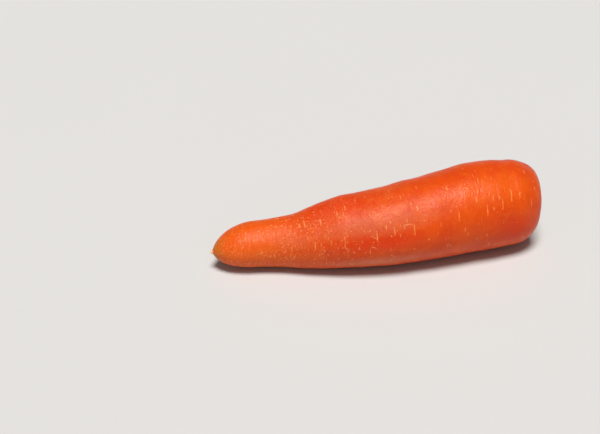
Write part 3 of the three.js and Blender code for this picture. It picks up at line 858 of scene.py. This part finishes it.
def rootlet_tree():
    """Grows short curled rootlets out of the root scars, most of them near the nose, and lays them on the
    skin."""
    tree, given = new_tree("Rootlets", {
        "Object": ["Skin"],
        "Int": ["Seed"],
        "Float": ["Density", "Length", "Radius", "Curl", "Floor Clearance"],
        "Material": ["Fibre"],
    })
    skin = add(tree, "GeometryNodeObjectInfo", {"Object": given["Skin"]}).outputs["Geometry"]
    place = add(tree, "GeometryNodeInputPosition")
    distance = add(tree, "GeometryNodeInputNamedAttribute", {"Name": "distance"})
    scar = add(tree, "GeometryNodeInputNamedAttribute", {"Name": "scar"})
    density = add(tree, "ShaderNodeMapRange", {
        "Value": distance, "From Min": 10 * MM, "From Max": 180 * MM, "To Min": 0.35,
    })
    height = add(tree, "ShaderNodeSeparateXYZ", {"Vector": place}).outputs["Z"]
    for value, least in ((distance, SHOULDER_END * MM), (scar, 0.4), (height, given["Floor Clearance"])):
        over = add(tree, "ShaderNodeMath", {0: value, 1: least}, operation="GREATER_THAN")
        density = add(tree, "ShaderNodeMath", {0: density, 1: over}, operation="MULTIPLY")
    density = add(tree, "ShaderNodeMath", {0: density, 1: given["Density"]}, operation="MULTIPLY")
    spots = add(tree, "GeometryNodeDistributePointsOnFaces", {
        "Mesh": skin, "Density": density, "Seed": given["Seed"],
    })
    spin = add(tree, "FunctionNodeRandomValue", {
        "Max": (0, 0, 2 * pi), "Seed": given["Seed"],
    }, data_type="FLOAT_VECTOR")
    size = add(tree, "FunctionNodeRandomValue", {"Min": 0.3, "Max": 1.0, "Seed": given["Seed"]})
    turn = add(tree, "FunctionNodeRotateRotation", {
        "Rotation": spots.outputs["Rotation"], "Rotate By": spin,
    }, rotation_space="LOCAL")

    end = add(tree, "ShaderNodeCombineXYZ", {"X": given["Length"]})
    strand = add(tree, "GeometryNodeCurvePrimitiveLine", {"Start": (0, 0, 0), "End": end})
    strand = add(tree, "GeometryNodeResampleCurve", {"Curve": strand, "Count": ROOTLET_POINTS})
    strands = add(tree, "GeometryNodeInstanceOnPoints", {
        "Points": spots.outputs["Points"], "Instance": strand, "Rotation": turn, "Scale": size,
    })
    strands = add(tree, "GeometryNodeRealizeInstances", {"Geometry": strands})

    # Each rootlet bends aside more towards its tip, and is laid back on the skin.
    along = add(tree, "GeometryNodeSplineParameter").outputs["Factor"]
    bend = add(tree, "ShaderNodeMath", {0: along, 1: given["Curl"]}, operation="MULTIPLY")
    bend = wavering(tree, place, 4 * MM, bend)
    bent = add(tree, "GeometryNodeSetPosition", {"Geometry": strands, "Offset": bend})
    near = add(tree, "GeometryNodeProximity", {"Geometry": skin})
    normal = add(tree, "GeometryNodeSampleNearestSurface", {
        "Mesh": skin, "Value": add(tree, "GeometryNodeInputNormal"),
    }, data_type="FLOAT_VECTOR")
    lift = add(tree, "ShaderNodeMath", {0: given["Radius"], 1: 0.6}, operation="MULTIPLY")
    lift = add(tree, "ShaderNodeVectorMath", {0: normal, "Scale": lift}, operation="SCALE")
    laid = add(tree, "ShaderNodeVectorMath", {0: near, 1: lift})
    laid = add(tree, "GeometryNodeSetPosition", {"Geometry": bent, "Position": laid})

    taper = add(tree, "ShaderNodeMapRange", {"Value": along, "To Min": 1.0, "To Max": 0.4})
    ring = add(tree, "GeometryNodeCurvePrimitiveCircle", {
        "Resolution": ROOTLET_SIDES, "Radius": given["Radius"],
    })
    tubes = add(tree, "GeometryNodeCurveToMesh", {
        "Curve": laid, "Profile Curve": ring, "Scale": taper, "Fill Caps": True,
    })
    tubes = add(tree, "GeometryNodeSetShadeSmooth", {"Geometry": tubes})
    close_tree(tree, tubes, given["Fibre"])
    return tree


# ---- Settings ----


def a_number(name, description, value, **kind):
    return FloatProperty(name=name, description=description, default=value, **kind)


def a_length(name, description, millimetres):
    return a_number(name, description, millimetres * MM, unit="LENGTH", precision=5)


def an_angle(name, description, angle):
    return a_number(name, description, angle, unit="ROTATION")


def a_size(name, description, millimetres):
    return FloatVectorProperty(name=name, description=description + ", in millimetres", default=millimetres)


def a_colour(name, description, hex_colour):
    return FloatVectorProperty(
        name=name, description=description, default=linear(hex_colour), size=4, subtype="COLOR", min=0, max=1,
    )


class CarrotRootSettings(PropertyGroup):
    """Sizes of the relief on the root's skin."""

    scar_tilt: a_length("Scar Tilt", "How far a ring of scars leans ahead on one side of the root", 0.5)
    scar_half_width: a_length("Scar Half Width", "From a scar's middle to its rim", 0.5)
    scar_depth: a_length("Scar Depth", "Depth of the groove in a scar", 0.4)
    lip_height: a_length("Lip Height", "Height of the lips on either side of a scar", 0.08)
    dent_height: a_length("Dent Height", "From the lowest to the highest of the broad dents", 0.7)
    dent_size: a_length("Dent Size", "Across one broad dent", 17)
    ring_height: a_length("Ring Height", "From the lowest to the highest of the low rings", 0.22)
    ring_spacing: a_length("Ring Spacing", "Between one low ring and the next", 4.2)
    ring_length: a_length("Ring Length", "How far a ring or a crease runs round the root", 26)
    crease_depth: a_length("Crease Depth", "Depth of the fine creases across the root", 0.1)
    crease_spacing: a_length("Crease Spacing", "Between one crease and the next", 3.5)
    wrinkle_height: a_length("Wrinkle Height", "Of the wrinkles in the crown's hollow", 1)
    wrinkle_spacing: a_length("Wrinkle Spacing", "Between wrinkles in the crown's hollow", 2.2)
    inset: a_length("Inset", "How far the skin lies inside the plain form, to leave room for relief", 0.15)
    fray: a_length("Fray", "How ragged the broken end of the tail is", 0.7)


class CarrotColours(PropertyGroup):
    """Colours of the skin, the rootlets and the cut stalks."""

    orange: a_colour("Orange", "Most of the skin", "#DA4F07")
    # Deep Orange also paints the painted shade along the creases.
    deep_orange: a_colour("Deep Orange", "Deeper patches of the skin", "#D04004")
    # Red Orange paints the long red patches, which are redder skin and also painted shade.
    red_orange: a_colour("Red Orange", "Long patches of redder skin", "#D23303")
    # Light Orange also paints the patches of painted light.
    light_orange: a_colour("Light Orange", "Lighter patches and bands", "#E2620C")
    crown: a_colour("Crown", "The floor of the crown's hollow", "#84702A")
    pore: a_colour("Pore", "Fine dark pores in the skin", "#AE3807")
    # Film paints the dried film, and also the painted sheen and painted reflection patches.
    film_and_sheen: a_colour("Film", "Skin that has dried", "#CC8160")
    tip: a_colour("Tip", "The nose round the broken tail", "#BE681F")
    fleck: a_colour("Fleck", "Flecks, dots, dashes and nicks", "#F0A26C")
    cork: a_colour("Cork", "Root scars", "#F3AC5C")
    fibre: a_colour("Fibre", "Dried rootlets", "#EBC594")
    green: a_colour("Green", "Fresh skin of a stalk", "#93A23C")
    tan: a_colour("Tan", "Dried skin of a stalk", "#B3975A")
    # Brown also paints the painted shade in the stalks' grooves and the stem's marks.
    brown: a_colour("Brown", "Old and bruised edges of a stalk", "#5F4A24")
    pith: a_colour("Pith", "The cut face of a stalk", "#DCD08F")


class CarrotStubSettings(PropertyGroup):
    """Sizes of the stem and its cut stalks."""

    count: IntProperty(
        name="Count", description="Leaf stalks cut off short", default=STUB_COUNT, min=2, max=30,
    )
    spread: a_length("Spread", "From the stem's middle to the outermost stub", 6.7)
    root_height: a_length("Root Height", "Height above the stem's foot at which a stub begins", 0.25)
    raggedness: a_number("Raggedness", "How far a cut may be above or below the next, in millimetres", 0.5)
    outer_size: a_size("Outer Size", "Thickness, half width, height of the outermost stub", (1.7, 2.4, 3.4))
    inner_size: a_size("Inner Size", "Thickness, half width, height of the innermost stub", (0.9, 1.0, 5.2))
    outer_tilt: an_angle("Outer Tilt", "How far the outermost stub leans out", 0.22)
    inner_tilt: an_angle("Inner Tilt", "How far the innermost stub leans out", 0.02)


class CarrotRootletSettings(PropertyGroup):
    """Sizes of the broken rootlets."""

    density: a_number("Density", "Rootlets on a square metre of scar", 60000)
    length: a_length("Length", "Of the longest rootlet", 5)
    radius: a_length("Radius", "Of a rootlet where it leaves the skin", 0.1)
    curl: a_length("Curl", "How far rootlets bend aside, from one side to the other", 6)
    clearance: a_length("Floor Clearance", "Height under which no rootlet grows", 8)
    seed: IntProperty(name="Seed", description="Places and turns of the rootlets", default=4)


class CarrotStageSettings(PropertyGroup):
    """The floor and the light."""

    paint: a_colour("Paint", "The floor's paint", "#CBC9C6")
    floor_size: a_length("Floor Size", "Across the floor", 12000)
    key_strength: a_number("Key Strength", "Light from the far softbox on a surface that faces it", 3.8)
    key_spread: an_angle("Key Spread", "How wide the softbox looks from the carrot", radians(20))
    key_elevation: an_angle("Key Elevation", "Height of the softbox above the floor", radians(74))
    front_strength: a_number("Front Strength", "Light from the front panel on a surface that faces it", 0.35)
    front_spread: an_angle("Front Spread", "How wide the front panel looks from the carrot", radians(90))
    front_elevation: an_angle("Front Elevation", "Height of the front panel above the floor", radians(25))
    fill: a_number("Fill", "Strength of the even light all round", 0.11)


# ---- Operators ----


class CARROT_OT_make_root(Operator):
    """Make the root, with its relief, in place of its plain solid"""

    bl_idname = "carrot.make_root"
    bl_label = "Make Root"

    def execute(self, context):
        piece = self.make_plain_root()
        places = self.make_scar_places()
        fray_start = ROOT_LENGTH - FRAY_LEAD
        apply_tree(piece, skin_tree(), context.scene.carrot_root, {
            "Scar Places": places, "Fray Start": fray_start * MM, "Fray End": (fray_start + FRAY_REACH) * MM,
            "Clear Height": CLEAR_HEIGHT * MM, "Skin": skin_material(context.scene.carrot_colours),
        })
        drop(places)
        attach(piece, "root")
        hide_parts("carrot_root")
        return {"FINISHED"}

    @staticmethod
    def make_scar_places():
        """A point for each root scar, at the middle of the scar."""
        distance, degrees, length, ring = np.array(root_scars(), float).T
        angle = np.radians(degrees)
        return new_piece("scar_places", skin_points(distance, angle, root_radius(distance)), [], {
            "distance": distance * MM, "angle": angle, "length": length * MM, "lean": ring * GOLDEN_ANGLE,
        })

    @staticmethod
    def make_plain_root():
        """The root's smooth skin: rings of points from the middle of the hollow to the broken tail."""
        hollow = np.linspace(0, CREST_RADIUS, HOLLOW_RINGS, endpoint=False)[1:]
        shoulder = SHOULDER_END * np.linspace(0, 1, SHOULDER_RINGS, endpoint=False) ** SHOULDER_CROWDING
        body = np.linspace(SHOULDER_END, NOSE_START, BODY_RINGS, endpoint=False)
        tail_end = ROOT_LENGTH + TAIL_LENGTH
        nose_length = tail_end - TAIL_BEVEL - NOSE_START
        nose = NOSE_START + nose_length * np.linspace(0, 1, NOSE_RINGS) ** NOSE_CROWDING
        outer = np.concatenate([shoulder, body, nose])
        place = np.concatenate([0 * hollow, outer, [tail_end]])[:, None]
        radius = np.concatenate([hollow, root_radius(outer), [TAIL_RADIUS - TAIL_BEVEL]])[:, None]
        depth = np.concatenate([hollow_depth(hollow), 0 * outer, [0]])[:, None]
        distance = np.concatenate([hollow - CREST_RADIUS, outer, [tail_end]])[:, None]
        angle = 2 * pi * np.arange(SIDES)[None, :] / SIDES
        rings = skin_points(place, angle, radius, depth)

        # The rings run down to the nose, so the corners of a wall's face are turned round to face outwards. A
        # fan closes each end.
        crown_middle = len(rings) * SIDES
        tail_middle = crown_middle + 1
        last = crown_middle - SIDES
        faces = [face[:1] + face[:0:-1] for face in wall_faces(len(rings), SIDES)]
        faces += [(crown_middle, at, (at + 1) % SIDES) for at in range(SIDES)]
        faces += [(tail_middle, last + (at + 1) % SIDES, last + at) for at in range(SIDES)]
        middles = [rings[0].mean(axis=0), rings[-1].mean(axis=0)]

        def on_points(values, crown=0, tail=0):
            return [*np.broadcast_to(values, rings.shape[:2]).ravel(), crown, tail]

        return new_piece("washed_root", np.vstack([rings.reshape(-1, 3), middles]), faces, {
            "distance": on_points(distance * MM, -CREST_RADIUS * MM, tail_end * MM),
            "radius": on_points(radius * MM),
            "angle": on_points(angle),
            "scar": on_points(0),
        })


class CARROT_OT_make_stubs(Operator):
    """Make the stem and its cut leaf stalks in the crown's hollow, in place of their plain solid"""

    bl_idname = "carrot.make_stubs"
    bl_label = "Make Stalk Stubs"

    def execute(self, context):
        stalk = self.make_stalk()
        piece = self.make_stem()
        apply_tree(piece, stalk_spiral_tree(), context.scene.carrot_stubs, {
            "Stalk": stalk, "Turn": GOLDEN_ANGLE, "Flesh": stalk_material(context.scene.carrot_colours),
        })
        drop(stalk)
        outwards = Vector((1, -CROWN_LEAN * LEAN_Y, -CROWN_LEAN * LEAN_Z)).normalized()
        foot = Vector((CROWN_X - HOLLOW_DEPTH, axis_side(0), axis_height(0))) + outwards * FLOOR_GAP
        turn = Vector((0, 0, 1)).rotation_difference(outwards).to_matrix().to_4x4()
        piece.data.transform(Matrix.Translation(foot * MM) @ turn)
        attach(piece, "root")
        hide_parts("leaf_stalk_stubs")
        return {"FINISHED"}

    @staticmethod
    def make_stalk():
        """A ribbed stalk of crescent section with a dished cut: about 1 mm thick, high and half wide."""
        around = np.arange(STALK_SIDES) / STALK_SIDES
        outside = around < OUTER_SHARE
        share = np.where(outside, around / OUTER_SHARE, (around - OUTER_SHARE) / (1 - OUTER_SHARE))[:, None]
        tip = np.array(STALK_TIP)
        other_tip = tip * (1, -1)
        bulge = (
            tip * (1 - share) ** 3 + 3 * tip * STALK_BULGE * share * (1 - share) ** 2
            + 3 * other_tip * STALK_BULGE * share ** 2 * (1 - share) + other_tip * share ** 3
        )
        hollow = other_tip * (1 - share) ** 2 + tip * share ** 2
        rib = np.where(outside, np.cos(2 * pi * RIB_COUNT * around / OUTER_SHARE), 0)
        section = np.where(outside[:, None], bulge, hollow) * (1 + RIB_HEIGHT * rib)[:, None]
        middle = section.mean(axis=0)
        points = [
            (*(middle + (corner - middle) * width), height)
            for height, width, _ in STALK_RINGS for corner in section
        ]
        return new_piece("stalk", points, closed_faces(len(STALK_RINGS), STALK_SIDES), {
            "cut": np.repeat([cut for *_, cut in STALK_RINGS], STALK_SIDES),
            "rib": np.tile(rib, len(STALK_RINGS)),
        })

    @staticmethod
    def make_stem():
        """The short stem, a low dome with a wavy edge and the marks of older stalks, on a flat foot."""
        inwards = np.linspace(STEM_RADIUS, STEM_MIDDLE, STEM_RINGS)
        radii = np.concatenate([[STEM_RADIUS - STEM_BEVEL], inwards])
        radius, turn = np.meshgrid(radii, 2 * pi * np.arange(STEM_SIDES) / STEM_SIDES, indexing="ij")
        marks = np.sin(2 * pi * radius / STEM_MARK_SPACING + STEM_SPIRALS * turn)
        marks = marks * np.minimum(1, radius / STEM_MARK_FADE)
        heights = line_through(STEM_PROFILE)(radius) + STEM_MARK_HEIGHT * marks
        heights[0] = 0
        waves = np.cos(STEM_EDGE_WAVES * turn + STEM_EDGE_SWING * np.sin(2 * turn))
        reach = radius * (1 - STEM_EDGE_WAVE * (1 + waves) / 2)
        points = np.stack([reach * np.cos(turn), reach * np.sin(turn), heights], axis=-1)
        return new_piece("cut_stalk_stubs", points.reshape(-1, 3), closed_faces(len(radii), STEM_SIDES), {
            "cut": np.zeros(radius.size),
            "rib": marks.ravel(),
        })


class CARROT_OT_make_rootlets(Operator):
    """Grow the broken rootlets from the root's scars"""

    bl_idname = "carrot.make_rootlets"
    bl_label = "Make Rootlets"

    def execute(self, context):
        piece = new_piece("broken_rootlets", [(0, 0, 0)], [])
        apply_tree(piece, rootlet_tree(), context.scene.carrot_rootlets, {
            "Skin": bpy.data.objects["washed_root"], "Fibre": fibre_material(context.scene.carrot_colours),
        })
        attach(piece, "root")
        return {"FINISHED"}


class CARROT_OT_make_stage(Operator):
    """Make the floor, the far softbox, the front panel, the even light and the camera"""

    bl_idname = "carrot.make_stage"
    bl_label = "Make Stage"

    def execute(self, context):
        settings = context.scene.carrot_stage
        self.make_floor(settings)
        self.make_lights(context.scene, settings)
        self.make_camera(context.scene)
        context.scene.view_settings.view_transform = "Standard"
        return {"FINISHED"}

    @staticmethod
    def make_floor(settings):
        half = settings.floor_size / 2 / MM
        corners = [(-half, -half, 0), (half, -half, 0), (half, half, 0), (-half, half, 0)]
        floor = new_piece("studio_floor", corners, [(0, 1, 2, 3)])
        floor.data.materials.append(floor_material(settings.paint))

    @staticmethod
    def make_lights(scene, settings):
        for name, strength, spread, elevation in (
            ("far_softbox", settings.key_strength, settings.key_spread, settings.key_elevation),
            ("front_panel", settings.front_strength, settings.front_spread, settings.front_elevation),
        ):
            lamp = bpy.data.lights.new(name, "SUN")
            lamp.energy = strength
            lamp.angle = spread
            panel = bpy.data.objects.new(name, lamp)
            scene.collection.objects.link(panel)
            towards = direction(CAMERA_AZIMUTH, elevation)
            panel.location = towards
            panel.rotation_euler = towards.to_track_quat("Z", "Y").to_euler()
        world = bpy.data.worlds.new("studio")
        world.use_nodes = True
        background = world.node_tree.nodes["Background"]
        background.inputs["Color"].default_value = (1, 1, 1, 1)
        background.inputs["Strength"].default_value = settings.fill
        scene.world = world

    @staticmethod
    def make_camera(scene):
        lens = bpy.data.cameras.new("camera")
        lens.lens = CAMERA_LENS
        lens.sensor_width = SENSOR_WIDTH
        camera = bpy.data.objects.new("camera", lens)
        scene.collection.objects.link(camera)
        back = direction(CAMERA_AZIMUTH, CAMERA_ELEVATION)
        camera.location = (Vector(CAMERA_TARGET) + back * CAMERA_DISTANCE) * MM
        camera.rotation_euler = back.to_track_quat("Z", "Y").to_euler()
        scene.camera = camera


# ---- The panel and the add-on's own parts ----


class CARROT_PT_panel(Panel):
    """The carrot's pieces and their settings"""

    bl_label = "Topped Carrot"
    bl_space_type = "VIEW_3D"
    bl_region_type = "UI"
    bl_category = "Carrot"

    def draw(self, context):
        for maker in MAKERS:
            self.layout.operator(maker.bl_idname)
        for group in SETTINGS:
            box = self.layout.box()
            settings = getattr(context.scene, group)
            for name in settings.__annotations__:
                box.prop(settings, name)


MAKERS = [CARROT_OT_make_root, CARROT_OT_make_stubs, CARROT_OT_make_rootlets, CARROT_OT_make_stage]
SETTINGS = {
    "carrot_root": CarrotRootSettings,
    "carrot_colours": CarrotColours,
    "carrot_stubs": CarrotStubSettings,
    "carrot_rootlets": CarrotRootletSettings,
    "carrot_stage": CarrotStageSettings,
}
CLASSES = [*SETTINGS.values(), *MAKERS, CARROT_PT_panel]


def register():
    for each in CLASSES:
        bpy.utils.register_class(each)
    for name, group in SETTINGS.items():
        setattr(bpy.types.Scene, name, PointerProperty(type=group))


def unregister():
    for name in SETTINGS:
        delattr(bpy.types.Scene, name)
    for each in reversed(CLASSES):
        bpy.utils.unregister_class(each)


def main():
    register()
    bpy.ops.carrot.make_root()
    bpy.ops.carrot.make_stubs()
    bpy.ops.carrot.make_rootlets()
    bpy.ops.carrot.make_stage()


if __name__ == "__main__":
    main()
